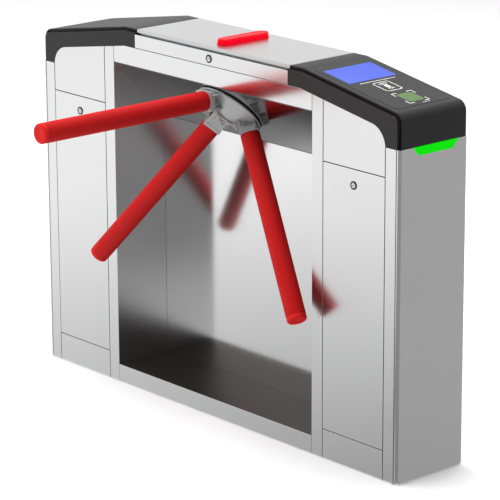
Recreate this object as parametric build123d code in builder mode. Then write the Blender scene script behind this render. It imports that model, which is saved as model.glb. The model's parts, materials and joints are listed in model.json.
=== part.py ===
"""Bridge-type tripod turnstile that counts visitors.

A steel cabinet stands beside the passage, with a deep recess in its passage side.
A 45 degree panel closes the recess at the top, and the three-armed head turns on a
shaft square to that panel. Black caps close the two columns, and a hinged steel lid
lies between them.

Frame, in millimetres: origin at the centre of the base, on the floor. X runs along
the cabinet, the passage is on the -Y side, and Z is up.
"""

import os
from math import cos, radians, sin, sqrt

from build123d import *

os.makedirs("parts", exist_ok=True)

# Overall sizes
length = 1400
width = 234
height = 1000

# Sheet metal and clearances
sheet = 2
reveal = 2
cap_gap = 0.3
panel_gap = 0.5
running = 0.05
slack = 0.3

# Recess in the passage side
recess_half = 390
recess_drop = 100
recess_sill = 50
recess_depth = 173

# Columns
door_inner = 430
door_outer = 650
door_foot = 80
door_drop = 220
door_flange = 12
post_return = 18
end_radius = 11
end_wrap = 44

# Black caps
lid_half = 300
cap_flat = 50
cap_fall = 0.17
cap_depth = 145
cap_band = 50
cap_corner = 27
panel_corner = 55
lip_depth = 5
neck_depth = 5
lip_inset = 8
neck_inset = 13
cap_wall = 3

# Lid between the caps
lid_lip = 10
lid_neck = 3
apron_return = 14
strip_lap = 16
lid_frame_bar = 12
hinge_gap = 0.5
hinge_pin_radius = 1.5
hinge_barrel_radius = 3
hinge_leaf = 1.5
hinge_leaf_height = 16
hinge_bore = 1.55
hinge_length = 60
knuckle_count = 5
hinge_place = 190
light_length = 170
light_width = 38
light_height = 15
light_bevel = 5
light_board_gap = 1

# Console on the right cap, laid out up the slope from the film's lower edge
film_start = 14
film_foot = 37
film_half = 93
film_depth = 1
film_corner = 14
screen_start = 40
screen_half = 80
scan_margin = 23
scan_size = 52
module_rim = 12
module_depth = 5
scanner_depth = 15
reader_gap = 23
reader_length = 70
reader_half = 45
reader_screen_gap = 14

# Passage indicator on the right end
indicator_top = 152
indicator_foot = 116
indicator_height = 21
indicator_offset = 5
indicator_proud = 1
indicator_rim = 3

# Three-armed head; distances along an arm are from the point where the arms meet
hub_drop = 139
hub_setback = 46.8
arm_root = 122
arm_tip = 653
sleeve_radius = 26
core_radius = 19
core_wall = 3
plug_length = 12
plug_round = 5
plug_spigot = 20
core_start = 92
arm_turns = (0, 120, 240)
flange_radius = 94
flange_depth = 5
flange_gap = 2.6
dome_radius = 78
dome_depth = 30
nose_radius = 24
socket_half = 24
socket_start = 45
shaft_radius = 15
shaft_seat = 14
shaft_end = 88
shaft_hole_radius = 22
seal_depth = 2
seal_lip = 5

# Turning mechanism; depths are measured inwards from the same point
plate_depth = 6
plate_gap = 5
plate_half = 151
bearing_radius = 26
bearing_width = 15
housing_radius = 38
housing_flange = 55
housing_end = 26
wheel_radius = 52
wheel_width = 8
wheel_level = 32
notch_count = 12
notch_width = 13
notch_depth = 10
pawl_x = 70
pawl_y = 36
pawl_width = 8
pawl_tail = 34
pawl_tip_gap = 3
pawl_pin_radius = 4
pawl_shoulder = 3
tooth_width = 5
tooth_square_at = 10
solenoid_gap = 12
solenoid_length = 40
solenoid_half = 11
plunger_y = 66
plunger_gap = 0.5
plunger_length = 34
plunger_radius = 4
encoder_radius = 30
encoder_level = 50
encoder_slot = 7
encoder_count = 36
encoder_boss = 4
encoder_boss_depth = 8
sensor_mouth = 6
sensor_width = 12
plate_front = -70
plate_rear = 90
cheek_front = -80
cheek_rear = 76
cheek_thickness = 6
bridge_level = 66
bridge_depth = 4
bridge_half = 22
bridge_clearance = 1
damper_radius = 30
damper_depth = 24
bolt_radius = 6.5
bolt_head = 5

# Base
base_thickness = 4
anchor_x = 600
anchor_y = 70
anchor_radius = 7
inlet_x = 540
inlet_radius = 20
inlet_wall = 5
inlet_length = 12

# Inner frame
tube = 25
tube_gap = 1
post_setback = 5
bridge_drop = 95

# Cam locks
lock_radius = 10
lock_rim = 1.5
lock_rim_radius = 11
lock_plug_radius = 7
lock_length = 16
cam_thickness = 2
cam_width = 12
door_cam_length = 52
lid_cam_length = 28
door_lock_drop = 41
lid_lock_drop = 31
key_slot = 9
key_width = 2
key_depth = 3

# Door pins, screws and electrics
door_pin_radius = 3
door_pin_length = 16
door_pin_gap = 1.5
door_pin_height = 8
door_lug = 4
screw_radius = 4
screw_head = 1
column_screw_heights = (16, 365, 650)
middle_screw_heights = (16, 450, 900)
screw_edge = 16
tray_thickness = 3
tray_foot = 300
tray_top = 620
tray_margin = 20
supply_length = 160
supply_depth = 45
supply_height = 100
terminal_depth = 16
terminal_count = 12
control_length = 180
control_height = 130
standoff_length = 12
chip_size = 18
chip_depth = 3

# Worked out from the sizes above
half_l = length / 2
half_w = width / 2
recess_top = height - recess_drop
door_head = height - door_drop
cap_foot = height - cap_depth
cap_bend = lid_half + cap_flat
hub_height = height - hub_drop
bridge_height = height - bridge_drop
lid_lock_height = height - lid_lock_drop
skin_y = half_w - sheet
frame_y = skin_y - tube - tube_gap
inner_x = door_inner - tube - post_setback
outer_x = door_outer + post_setback
outer_height = cap_foot - tube
rail_x = plate_half + cheek_thickness
cap_lip = lip_depth + neck_depth
door_middle = (door_inner + door_outer) / 2
door_lock_z = door_head - door_lock_drop
door_pin_y = -skin_y + door_pin_radius + door_pin_gap
door_pin_z = door_foot + door_pin_height
rail_half = recess_half - reveal / 2
post_start = door_outer + reveal / 2
post_end = half_l - end_radius - reveal
panel_lo = door_inner + reveal / 2
panel_hi = door_outer - reveal / 2
upper_foot = door_head + reveal / 2
kick_head = door_foot - reveal / 2
core_end = arm_tip - plug_length
board_y = frame_y - tray_thickness
board_lo = door_middle - control_length / 2
board_hi = door_middle + control_length / 2
board_foot = tray_foot + tray_margin
board_face = board_y - standoff_length
recess_back = recess_depth - half_w
cap_start = lid_half + reveal
slope_scale = sqrt(1 + cap_fall**2)
film_end = (half_l - cap_bend) * slope_scale - film_foot
scan_start = film_end - scan_margin - scan_size
reader_end = scan_start - reader_gap
reader_start = reader_end - reader_length
screen_end = reader_start - reader_screen_gap
slant_sum = recess_top - half_w
apex_y = slant_sum + hub_setback * sqrt(2) - hub_height
apron_top = height - lid_lip - lid_neck
apron_foot = height - cap_band + reveal / 2
lid_y = half_w - lip_inset
hinge_y = half_w - hinge_barrel_radius - hinge_gap
hinge_z = height - lid_lip - hinge_barrel_radius / 2
strip_top = hinge_z - hinge_barrel_radius - hinge_leaf
plate_level = plate_gap + sheet - hub_setback
housing_foot = plate_level + plate_depth
flange_level = -hub_setback - flange_gap
plunger_level = wheel_level + wheel_width / 2
solenoid_x = pawl_x + pawl_width / 2 + solenoid_gap
tooth_length = pawl_x - wheel_radius - pawl_tip_gap
tooth_drop = (pawl_y + tooth_length * sin(radians(tooth_square_at))) / cos(radians(tooth_square_at))
tooth_y = pawl_y - tooth_drop
head_plane = Plane(origin=(0, apex_y, hub_height), x_dir=(1, 0, 0), z_dir=(0, 1, 1))
slope_plane = Plane(
    origin=(cap_bend, 0, height), x_dir=(1, 0, -cap_fall), z_dir=(cap_fall, 0, 1)
)


def slab(x_lo, x_hi, y_lo, y_hi, z_lo, z_hi, mode=Mode.ADD):
    """Add or cut a box between two corners, given in any order in X."""
    x_lo, x_hi = sorted((x_lo, x_hi))
    with Locations(((x_lo + x_hi) / 2, (y_lo + y_hi) / 2, (z_lo + z_hi) / 2)):
        Box(x_hi - x_lo, y_hi - y_lo, z_hi - z_lo, mode=mode)


def head_point(across, level):
    """Y and Z of a point on the head's plane, `across` down it and `level` inwards."""
    return (apex_y + (across + level) / sqrt(2), hub_height + (level - across) / sqrt(2))


def arm_plane(turn):
    """Plane square to one arm, through the point where the arms meet."""
    swing = radians(turn)
    return Plane(
        origin=(0, apex_y, hub_height),
        x_dir=(cos(swing), sin(swing) / sqrt(2), -sin(swing) / sqrt(2)),
        z_dir=(sin(swing) * sqrt(2), -1 - cos(swing), cos(swing) - 1),
    )


def arm_point(turn, reach):
    """Point on an arm's centre line."""
    return tuple(arm_plane(turn).offset(reach).origin)


def plunger_plane(start):
    """Plane square to the solenoid's plunger, `start` to the right of the head's axis."""
    y, z = head_point(plunger_y, plunger_level)
    return Plane(origin=(start, y, z), z_dir=(1, 0, 0))


def write(part, name):
    """Label one finished piece and write its STEP file."""
    part.label = name
    export_step(part, f"parts/{name}.step")


def cap_side(side, inset, corner):
    """Side outline of a cap, moved in from its outer surface by `inset`."""
    x_end = half_l - inset
    x_bend = cap_bend - inset * (slope_scale - 1) / cap_fall
    z_top = height - inset
    z_end = height - inset * slope_scale - cap_fall * (x_end - cap_bend)
    with BuildSketch(Plane.XZ) as outline:
        with BuildLine():
            Polyline(
                (side * cap_start, z_top),
                (side * x_bend, z_top),
                (side * x_end, z_end),
                (side * x_end, cap_foot),
                (side * cap_start, cap_foot),
                close=True,
            )
        make_face()
        fillet(outline.vertices().sort_by_distance((side * x_end, z_end))[0], corner)
    return outline.sketch


def skirt_line(side, gap):
    """Area under a cap's skirt, less a seam: the top edge of the skins follows it."""
    x_end = half_l - cap_band - gap
    inset = cap_band + gap
    x_bend = cap_bend - inset * (slope_scale - 1) / cap_fall
    z_end = height - inset * slope_scale - cap_fall * (x_end - cap_bend)
    with BuildSketch(Plane.XZ) as area:
        with BuildLine():
            Polyline(
                (0, height - inset),
                (side * x_bend, height - inset),
                (side * x_end, z_end),
                (side * x_end, 0),
                (0, 0),
                close=True,
            )
        make_face()
        fillet(area.vertices().sort_by_distance((side * x_end, z_end))[0], panel_corner)
    return area.sketch


def skin_face(side, x_lo, x_hi, z_lo, z_hi):
    """Upright sheet outline from x_lo to x_hi, cut off under the cap's skirt."""
    under = skirt_line(side, cap_gap)
    with BuildSketch(Plane.XZ) as face:
        with Locations((side * (x_lo + x_hi) / 2, (z_lo + z_hi) / 2)):
            Rectangle(x_hi - x_lo, z_hi - z_lo)
        add(under, mode=Mode.INTERSECT)
    return face.sketch


def indicator_outline(grow):
    """Face of the passage indicator, wider at the top, as Y and Z."""
    foot = cap_foot - cap_gap - indicator_height - grow
    with BuildSketch() as outline:
        with BuildLine():
            Polyline(
                (indicator_offset - indicator_top / 2 - grow, cap_foot - cap_gap),
                (indicator_offset - indicator_foot / 2 - grow, foot),
                (indicator_offset + indicator_foot / 2 + grow, foot),
                (indicator_offset + indicator_top / 2 + grow, cap_foot - cap_gap),
                close=True,
            )
        make_face()
    return outline.sketch


def console_windows():
    """Openings for the screen and the code scanner, along the slope."""
    with BuildSketch() as windows:
        with Locations(((screen_start + screen_end) / 2, 0)):
            Rectangle(screen_end - screen_start, 2 * screen_half)
        with Locations((scan_start + scan_size / 2, 0)):
            Rectangle(scan_size, scan_size)
    return windows.sketch


def knuckle_ring(start):
    """Section of one bored knuckle of a lid hinge."""
    with BuildSketch(Plane.YZ.offset(start)) as ring:
        with Locations((hinge_y, hinge_z)):
            Circle(hinge_barrel_radius)
            Circle(hinge_bore, mode=Mode.SUBTRACT)
    return ring.sketch


def make_lock(name, x, z, cam_length):
    """Cam lock through a front skin: a ringed case, and a plug that carries the cam."""
    with BuildPart() as case:
        with BuildSketch(Plane.XZ.offset(half_w)):
            with Locations((x, z)):
                Circle(lock_radius)
        extrude(amount=-lock_length)
        with BuildSketch(Plane.XZ.offset(half_w)):
            with Locations((x, z)):
                Circle(lock_rim_radius)
        extrude(amount=lock_rim)
        with BuildSketch(Plane.XZ.offset(half_w + lock_rim)):
            with Locations((x, z)):
                Circle(lock_plug_radius + running)
        extrude(amount=-lock_length - lock_rim, mode=Mode.SUBTRACT)
    write(case.part, f"{name}_case")
    with BuildPart() as plug:
        with BuildSketch(Plane.XZ.offset(half_w + lock_rim / 2)):
            with Locations((x, z)):
                Circle(lock_plug_radius)
        extrude(amount=-lock_length - lock_rim / 2 - running)
        with BuildSketch(Plane.XZ.offset(half_w + lock_rim / 2)):
            with Locations((x, z)):
                Rectangle(key_slot, key_width)
        extrude(amount=-key_depth, mode=Mode.SUBTRACT)
        slab(x - cam_width / 2, x + cam_length, -half_w + lock_length + running,
             -half_w + lock_length + running + cam_thickness, z - cam_width / 2, z + cam_width / 2)
    write(plug.part, f"{name}_plug")


# ---------------------------------------------------------------- base and frame

with BuildPart() as base_plate:
    slab(-half_l + end_radius, half_l - end_radius, -skin_y, skin_y, 0, base_thickness)
    with Locations((0, 0, base_thickness)):
        with GridLocations(2 * anchor_x, 2 * anchor_y, 2, 2):
            Hole(anchor_radius)
        with Locations((inlet_x, 0)):
            Hole(inlet_radius + inlet_wall)
write(base_plate.part, "base_plate")

with BuildPart() as cable_inlet_bush:
    with BuildSketch():
        with Locations((inlet_x, 0)):
            Circle(inlet_radius + inlet_wall)
            Circle(inlet_radius, mode=Mode.SUBTRACT)
    extrude(amount=inlet_length)
write(cable_inlet_bush.part, "cable_inlet_bush")

with BuildPart() as inner_frame:
    for side in (-1, 1):
        for x_lo, z_hi in ((inner_x, bridge_height), (outer_x, outer_height)):
            for y_lo in (-frame_y - tube, frame_y):
                slab(side * x_lo, side * (x_lo + tube), y_lo, y_lo + tube, base_thickness, z_hi)
            for z_lo in (base_thickness, z_hi - tube):
                slab(side * x_lo, side * (x_lo + tube), -frame_y, frame_y, z_lo, z_lo + tube)
        slab(side * rail_x, side * (rail_x + tube), -frame_y, frame_y,
             bridge_height, bridge_height + tube)
        for y_lo in (-frame_y - tube, frame_y):
            slab(side * inner_x, side * (outer_x + tube), y_lo, y_lo + tube,
                 base_thickness, base_thickness + tube)
        for x_lo in (inner_x + tube, outer_x - door_lug):
            with BuildSketch(Plane.YZ.offset(side * x_lo)):
                with Locations((door_pin_y, door_pin_z)):
                    Rectangle(2 * (door_pin_y + skin_y), 4 * door_pin_radius)
                    Circle(door_pin_radius + running, mode=Mode.SUBTRACT)
            extrude(amount=side * door_lug)
    for y_lo in (-frame_y - tube, frame_y):
        slab(-inner_x - tube, inner_x + tube, y_lo, y_lo + tube,
             bridge_height, bridge_height + tube)
write(inner_frame.part, "inner_frame")

# ---------------------------------------------------------------- columns

with BuildPart() as inner_posts:
    for side in (-1, 1):
        with BuildSketch(Plane.XZ.offset(half_w)):
            add(skin_face(side, recess_half, door_inner - reveal / 2, 0, height))
        extrude(amount=-sheet)
        slab(side * recess_half, side * (recess_half + sheet), -skin_y, recess_back + sheet,
             base_thickness, bridge_height - cap_gap)
write(inner_posts.part, "inner_posts")

with BuildPart() as outer_posts:
    for side in (-1, 1):
        slab(side * post_start, side * post_end, -half_w, -skin_y, 0, cap_foot - cap_gap)
        slab(side * (post_end - sheet), side * post_end, -skin_y, -skin_y + post_return,
             base_thickness, cap_foot - cap_gap)
write(outer_posts.part, "outer_posts")

for side, name in ((-1, "left"), (1, "right")):
    with BuildPart() as end_panel:
        with BuildSketch():
            with Locations((side * (half_l - end_wrap / 2), 0)):
                RectangleRounded(end_wrap, width, end_radius)
                RectangleRounded(end_wrap - 2 * sheet, width - 2 * sheet,
                                 end_radius - sheet, mode=Mode.SUBTRACT)
            with Locations((side * (half_l - end_radius / 2), 0)):
                Rectangle(end_radius, width, mode=Mode.INTERSECT)
        extrude(amount=cap_foot - cap_gap)
        if side > 0:
            with BuildSketch(Plane.YZ.offset(half_l)):
                add(indicator_outline(slack))
            extrude(amount=-2 * sheet, mode=Mode.SUBTRACT)
    write(end_panel.part, f"end_panel_{name}")

with BuildPart() as upper_panels:
    for side in (-1, 1):
        with BuildSketch(Plane.XZ.offset(half_w)):
            add(skin_face(side, panel_lo, panel_hi, upper_foot, height))
        extrude(amount=-sheet)
        slab(side * panel_lo, side * panel_hi, -skin_y, -skin_y + door_flange,
             upper_foot, upper_foot + sheet)
write(upper_panels.part, "upper_panels")

with BuildPart() as kick_panels:
    for side in (-1, 1):
        slab(side * panel_lo, side * panel_hi, -half_w, -skin_y, 0, kick_head)
        slab(side * panel_lo, side * panel_hi, -skin_y, -skin_y + door_flange,
             kick_head - sheet, kick_head)
write(kick_panels.part, "kick_panels")

# Doors: shallow pans that tilt out on two pins near the foot
for side, name in ((-1, "left"), (1, "right")):
    with BuildPart() as door:
        slab(side * panel_lo, side * panel_hi, -half_w, -skin_y + door_flange,
             door_foot + reveal / 2, door_head - reveal / 2)
        slab(side * (panel_lo + sheet), side * (panel_hi - sheet), -skin_y, -skin_y + door_flange,
             door_foot + reveal / 2 + sheet, door_head - reveal / 2 - sheet, mode=Mode.SUBTRACT)
        with BuildSketch(Plane.XZ.offset(half_w)):
            with Locations((side * door_middle, door_lock_z)):
                Circle(lock_radius + running)
        extrude(amount=-sheet, mode=Mode.SUBTRACT)
        for x_lo in (inner_x + tube + running, outer_x - door_pin_length - running):
            with BuildSketch(Plane.YZ.offset(side * x_lo)):
                with Locations((door_pin_y, door_pin_z)):
                    Circle(door_pin_radius)
            extrude(amount=side * door_pin_length)
    write(door.part, f"door_{name}")
    make_lock(f"door_lock_{name}", side * door_middle, door_lock_z, door_cam_length)

# ---------------------------------------------------------------- recess and middle skins

with BuildPart() as front_rails:
    for side in (-1, 1):
        with BuildSketch(Plane.XZ.offset(half_w)):
            add(skin_face(side, 0, rail_half, recess_top, height))
        extrude(amount=-sheet)
    slab(-rail_half, rail_half, -half_w, -skin_y, 0, recess_sill)
write(front_rails.part, "front_rails")

panel_half = recess_half - panel_gap
with BuildPart() as recess_sill_panel:
    slab(-panel_half, panel_half, -skin_y, recess_back, recess_sill - sheet, recess_sill)
write(recess_sill_panel.part, "recess_sill_panel")

with BuildPart() as recess_back_panel:
    slab(-panel_half, panel_half, recess_back, recess_back + sheet,
         base_thickness, slant_sum - recess_back - panel_gap)
write(recess_back_panel.part, "recess_back_panel")

slant_top = -skin_y + panel_gap
slant_foot = recess_back - panel_gap
slant_step = sheet / sqrt(2)
with BuildPart() as recess_slant_panel:
    with BuildSketch(Plane.YZ):
        with BuildLine():
            Polyline(
                (slant_top, slant_sum - slant_top),
                (slant_foot, slant_sum - slant_foot),
                (slant_foot + slant_step, slant_sum - slant_foot + slant_step),
                (slant_top + slant_step, slant_sum - slant_top + slant_step),
                close=True,
            )
        make_face()
    extrude(amount=panel_half, both=True)
    with BuildSketch(head_plane.offset(-hub_setback)):
        Circle(shaft_hole_radius)
    extrude(amount=2 * sheet, both=True, mode=Mode.SUBTRACT)
write(recess_slant_panel.part, "recess_slant_panel")

with BuildPart() as rear_panels:
    for side in (-1, 1):
        with BuildSketch(Plane.XZ.offset(-half_w)):
            add(skin_face(side, 0, rail_half, 0, height))
        extrude(amount=sheet)
        with BuildSketch(Plane.XZ.offset(-half_w)):
            add(skin_face(side, recess_half + reveal / 2, panel_hi, 0, height))
            with Locations((side * (panel_hi + post_end) / 2, (cap_foot - cap_gap) / 2)):
                Rectangle(post_end - panel_hi, cap_foot - cap_gap)
        extrude(amount=sheet)
    slab(-lid_half, lid_half, skin_y, half_w, apron_foot, strip_top)
    slab(-lid_half + lid_frame_bar, lid_half - lid_frame_bar, skin_y - slack - sheet, skin_y,
         apron_foot, apron_foot + strip_lap)
    slab(-lid_half + lid_frame_bar, lid_half - lid_frame_bar, skin_y - slack - sheet,
         skin_y - slack, apron_foot - strip_lap, apron_foot)
write(rear_panels.part, "rear_panels")

with BuildPart() as rear_screws:
    for side in (-1, 1):
        for x in (recess_half + screw_edge, post_end - screw_edge):
            for z in column_screw_heights:
                with BuildSketch(Plane.XZ.offset(-half_w)):
                    with Locations((side * x, z)):
                        Circle(screw_radius)
                extrude(amount=-screw_head)
        for z in middle_screw_heights:
            with BuildSketch(Plane.XZ.offset(-half_w)):
                with Locations((side * (recess_half - screw_edge), z)):
                    Circle(screw_radius)
            extrude(amount=-screw_head)
write(rear_screws.part, "rear_screws")

# ---------------------------------------------------------------- black caps

for side, name in ((-1, "left"), (1, "right")):
    outer = cap_side(side, 0, cap_corner)
    middle = cap_side(side, lip_depth, cap_corner - lip_depth)
    inner = cap_side(side, cap_lip, cap_corner - cap_lip)
    web_under = cap_side(side, cap_lip + cap_wall, cap_corner - cap_lip - cap_wall)
    below = skirt_line(side, 0)

    with BuildPart() as cap_cover:
        with BuildSketch(Plane.XZ):
            add(outer)
            add(middle, mode=Mode.SUBTRACT)
        extrude(amount=lid_y, both=True)
        with BuildSketch(Plane.XZ):
            add(middle)
            add(inner, mode=Mode.SUBTRACT)
        extrude(amount=half_w - neck_inset, both=True)
        if side > 0:
            with BuildSketch(slope_plane):
                with Locations(((film_start + film_end) / 2, 0)):
                    RectangleRounded(film_end - film_start, 2 * film_half, film_corner)
            extrude(amount=-film_depth, mode=Mode.SUBTRACT)
            with BuildSketch(slope_plane):
                add(console_windows())
            extrude(amount=-2 * cap_lip, mode=Mode.SUBTRACT)
    write(cap_cover.part, f"cap_cover_{name}")

    with BuildPart() as cap_skirt:
        for y_face, inward in ((half_w, -cap_wall), (-half_w, cap_wall)):
            with BuildSketch(Plane.XZ.offset(y_face)):
                add(inner)
                add(below, mode=Mode.SUBTRACT)
            extrude(amount=inward)
        with BuildSketch(Plane.XZ):
            add(inner)
            add(web_under, mode=Mode.SUBTRACT)
        extrude(amount=half_w - cap_wall, both=True)
        if side > 0:
            with BuildSketch(slope_plane):
                add(console_windows())
            extrude(amount=-2 * (cap_lip + cap_wall), mode=Mode.SUBTRACT)
    write(cap_skirt.part, f"cap_skirt_{name}")

# ---------------------------------------------------------------- console and indicator

with BuildPart() as console_film:
    with BuildSketch(slope_plane):
        with Locations(((film_start + film_end) / 2, 0)):
            RectangleRounded(film_end - film_start - 2 * slack, 2 * (film_half - slack),
                             film_corner - slack)
        add(console_windows(), mode=Mode.SUBTRACT)
    extrude(amount=-film_depth)
write(console_film.part, "console_film")

module_level = -cap_lip - cap_wall
screen_middle = (screen_start + screen_end) / 2
scan_middle = scan_start + scan_size / 2
with BuildPart() as screen_module:
    with BuildSketch(slope_plane):
        with Locations((screen_middle, 0)):
            Rectangle(screen_end - screen_start - 2 * slack, 2 * (screen_half - slack))
    extrude(amount=module_level)
    with BuildSketch(slope_plane.offset(module_level)):
        with Locations((screen_middle, 0)):
            Rectangle(screen_end - screen_start + module_rim, 2 * screen_half + module_rim)
    extrude(amount=-module_depth)
write(screen_module.part, "screen_module")

with BuildPart() as code_scanner:
    with BuildSketch(slope_plane):
        with Locations((scan_middle, 0)):
            Rectangle(scan_size - 2 * slack, scan_size - 2 * slack)
    extrude(amount=module_level)
    with BuildSketch(slope_plane.offset(module_level)):
        with Locations((scan_middle, 0)):
            Rectangle(scan_size + module_rim, scan_size + module_rim)
    extrude(amount=-scanner_depth)
write(code_scanner.part, "code_scanner")

with BuildPart() as card_reader:
    with BuildSketch(slope_plane.offset(module_level)):
        with Locations(((reader_start + reader_end) / 2, 0)):
            Rectangle(reader_end - reader_start, 2 * reader_half)
    extrude(amount=-module_depth)
write(card_reader.part, "card_reader")

with BuildPart() as indicator_lens:
    with BuildSketch(Plane.YZ.offset(half_l + indicator_proud)):
        add(indicator_outline(0))
    extrude(amount=-indicator_proud - sheet)
    with BuildSketch(Plane.YZ.offset(half_l - sheet)):
        add(indicator_outline(indicator_rim))
    extrude(amount=-sheet)
write(indicator_lens.part, "indicator_lens")

# ---------------------------------------------------------------- lid

with BuildPart() as top_cover:
    slab(-lid_half, lid_half, -lid_y, lid_y, height - lid_lip, height)
    slab(-lid_half + sheet, lid_half - sheet, -lid_y + sheet, lid_y - sheet,
         height - lid_lip, height - sheet, mode=Mode.SUBTRACT)
write(top_cover.part, "top_cover")

bar_y = half_w - neck_inset
with BuildPart() as lid_frame:
    for y_lo in (-bar_y, bar_y - lid_frame_bar):
        slab(-lid_half + lid_frame_bar, lid_half - lid_frame_bar, y_lo, y_lo + lid_frame_bar,
             apron_top, height - sheet)
    for x_lo in (-lid_half + lid_frame_bar, lid_half - 2 * lid_frame_bar):
        slab(x_lo, x_lo + lid_frame_bar, -bar_y, bar_y, apron_top, height - sheet)
write(lid_frame.part, "lid_frame")

with BuildPart() as lid_apron:
    slab(-lid_half, lid_half, -half_w, -skin_y, apron_foot, apron_top)
    slab(-lid_half + lid_frame_bar, lid_half - lid_frame_bar, -skin_y, -skin_y + apron_return,
         apron_top - sheet, apron_top)
    with BuildSketch(Plane.XZ.offset(half_w)):
        with Locations((0, lid_lock_height)):
            Circle(lock_radius + running)
    extrude(amount=-sheet, mode=Mode.SUBTRACT)
write(lid_apron.part, "lid_apron")

make_lock("lid_lock", 0, lid_lock_height, lid_cam_length)

with BuildPart() as light_bar:
    with BuildSketch(Plane.XY.offset(height)):
        Rectangle(light_width, light_length)
    extrude(amount=light_height)
    chamfer(light_bar.edges().filter_by(Axis.Z), light_bevel)
    chamfer(light_bar.faces().sort_by(Axis.Z)[-1].edges(), light_bevel)
    with BuildSketch(Plane.XY.offset(height)):
        Rectangle(light_width - 2 * light_bevel, light_length - 2 * light_bevel)
    extrude(amount=light_height / 2, mode=Mode.SUBTRACT)
write(light_bar.part, "light_bar")

with BuildPart() as light_board:
    with BuildSketch(Plane.XY.offset(height)):
        Rectangle(light_width - 2 * (light_bevel + light_board_gap),
                  light_length - 2 * (light_bevel + light_board_gap))
    extrude(amount=sheet)
write(light_board.part, "light_board")

# Two butt hinges along the rear edge: fixed knuckles at the ends and middle
knuckle = hinge_length / knuckle_count
with BuildPart() as lid_hinge_fixed:
    for place in (-hinge_place, hinge_place):
        start = place - hinge_length / 2
        for turn in (0, 2, 4):
            extrude(knuckle_ring(start + turn * knuckle), amount=knuckle - slack)
            slab(start + turn * knuckle, start + (turn + 1) * knuckle - slack,
                 skin_y - hinge_leaf, skin_y, hinge_z - hinge_leaf_height,
                 hinge_z - hinge_pin_radius - hinge_leaf / 2)
        slab(start, start + hinge_length - slack, skin_y - hinge_leaf, skin_y,
             hinge_z - hinge_leaf_height, hinge_z - hinge_barrel_radius - slack)
write(lid_hinge_fixed.part, "lid_hinge_fixed")

with BuildPart() as lid_hinge_moving:
    for place in (-hinge_place, hinge_place):
        start = place - hinge_length / 2
        for turn in (1, 3):
            extrude(knuckle_ring(start + turn * knuckle), amount=knuckle - slack)
            slab(start + turn * knuckle, start + (turn + 1) * knuckle - slack,
                 lid_y, hinge_y, hinge_z + hinge_barrel_radius - hinge_leaf / 2,
                 hinge_z + hinge_barrel_radius)
        slab(start, start + hinge_length - slack, lid_y, lid_y + hinge_leaf,
             hinge_z + hinge_barrel_radius - hinge_leaf / 2, height - sheet)
        with BuildSketch(Plane.YZ.offset(start)):
            with Locations((hinge_y, hinge_z)):
                Circle(hinge_pin_radius)
        extrude(amount=hinge_length - slack)
write(lid_hinge_moving.part, "lid_hinge_moving")

# ---------------------------------------------------------------- three-armed head

with BuildPart() as hub:
    with BuildSketch(head_plane.offset(flange_level)):
        Circle(flange_radius)
    extrude(amount=-flange_depth)
    with Locations(head_plane.offset(flange_level - flange_depth - dome_depth)):
        Cone(nose_radius, dome_radius, dome_depth, align=(Align.CENTER, Align.CENTER, Align.MIN))
    for turn in arm_turns:
        with BuildSketch(arm_plane(turn).offset(socket_start)):
            Rectangle(2 * socket_half, 2 * socket_half)
        extrude(amount=arm_root - socket_start)
    split(bisect_by=head_plane.offset(flange_level), keep=Keep.BOTTOM)
    for turn in arm_turns:
        with BuildSketch(arm_plane(turn).offset(core_start)):
            Circle(core_radius)
        extrude(amount=arm_root - core_start, mode=Mode.SUBTRACT)
    with BuildSketch(head_plane.offset(flange_level)):
        Circle(shaft_radius)
    extrude(amount=-shaft_seat, mode=Mode.SUBTRACT)
write(hub.part, "hub")

with BuildPart() as arm_cores:
    for turn in arm_turns:
        with BuildSketch(arm_plane(turn).offset(core_start)):
            Circle(core_radius)
            Circle(core_radius - core_wall, mode=Mode.SUBTRACT)
        extrude(amount=core_end - core_start)
write(arm_cores.part, "arm_cores")

with BuildPart() as arm_sleeves:
    for turn in arm_turns:
        with BuildSketch(arm_plane(turn).offset(arm_root)):
            Circle(sleeve_radius)
            Circle(core_radius, mode=Mode.SUBTRACT)
        extrude(amount=core_end - arm_root)
write(arm_sleeves.part, "arm_sleeves")

with BuildPart() as arm_plugs:
    for turn in arm_turns:
        with BuildSketch(arm_plane(turn).offset(core_end)):
            Circle(sleeve_radius)
        extrude(amount=plug_length)
        fillet(arm_plugs.faces().sort_by_distance(arm_point(turn, arm_tip))[0].edges(), plug_round)
        with BuildSketch(arm_plane(turn).offset(core_end)):
            Circle(core_radius - core_wall)
        extrude(amount=-plug_spigot)
write(arm_plugs.part, "arm_plugs")

with BuildPart() as main_shaft:
    with BuildSketch(head_plane.offset(flange_level - shaft_seat)):
        Circle(shaft_radius)
    extrude(amount=shaft_end - flange_level + shaft_seat)
write(main_shaft.part, "main_shaft")

with BuildPart() as index_wheel:
    with BuildSketch(head_plane.offset(wheel_level)):
        Circle(wheel_radius)
        with PolarLocations(wheel_radius - notch_depth / 2, notch_count):
            Rectangle(notch_depth + sheet, notch_width, mode=Mode.SUBTRACT)
        Circle(shaft_radius, mode=Mode.SUBTRACT)
    extrude(amount=wheel_width)
write(index_wheel.part, "index_wheel")

with BuildPart() as encoder_disc:
    with BuildSketch(head_plane.offset(encoder_level)):
        Circle(encoder_radius)
        with PolarLocations(encoder_radius - encoder_slot, encoder_count):
            Rectangle(encoder_slot, sheet, mode=Mode.SUBTRACT)
        Circle(shaft_radius, mode=Mode.SUBTRACT)
    extrude(amount=sheet)
    with BuildSketch(head_plane.offset(encoder_level)):
        Circle(shaft_radius + encoder_boss)
        Circle(shaft_radius, mode=Mode.SUBTRACT)
    extrude(amount=encoder_boss_depth)
write(encoder_disc.part, "encoder_disc")

# ---------------------------------------------------------------- turning mechanism

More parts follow.
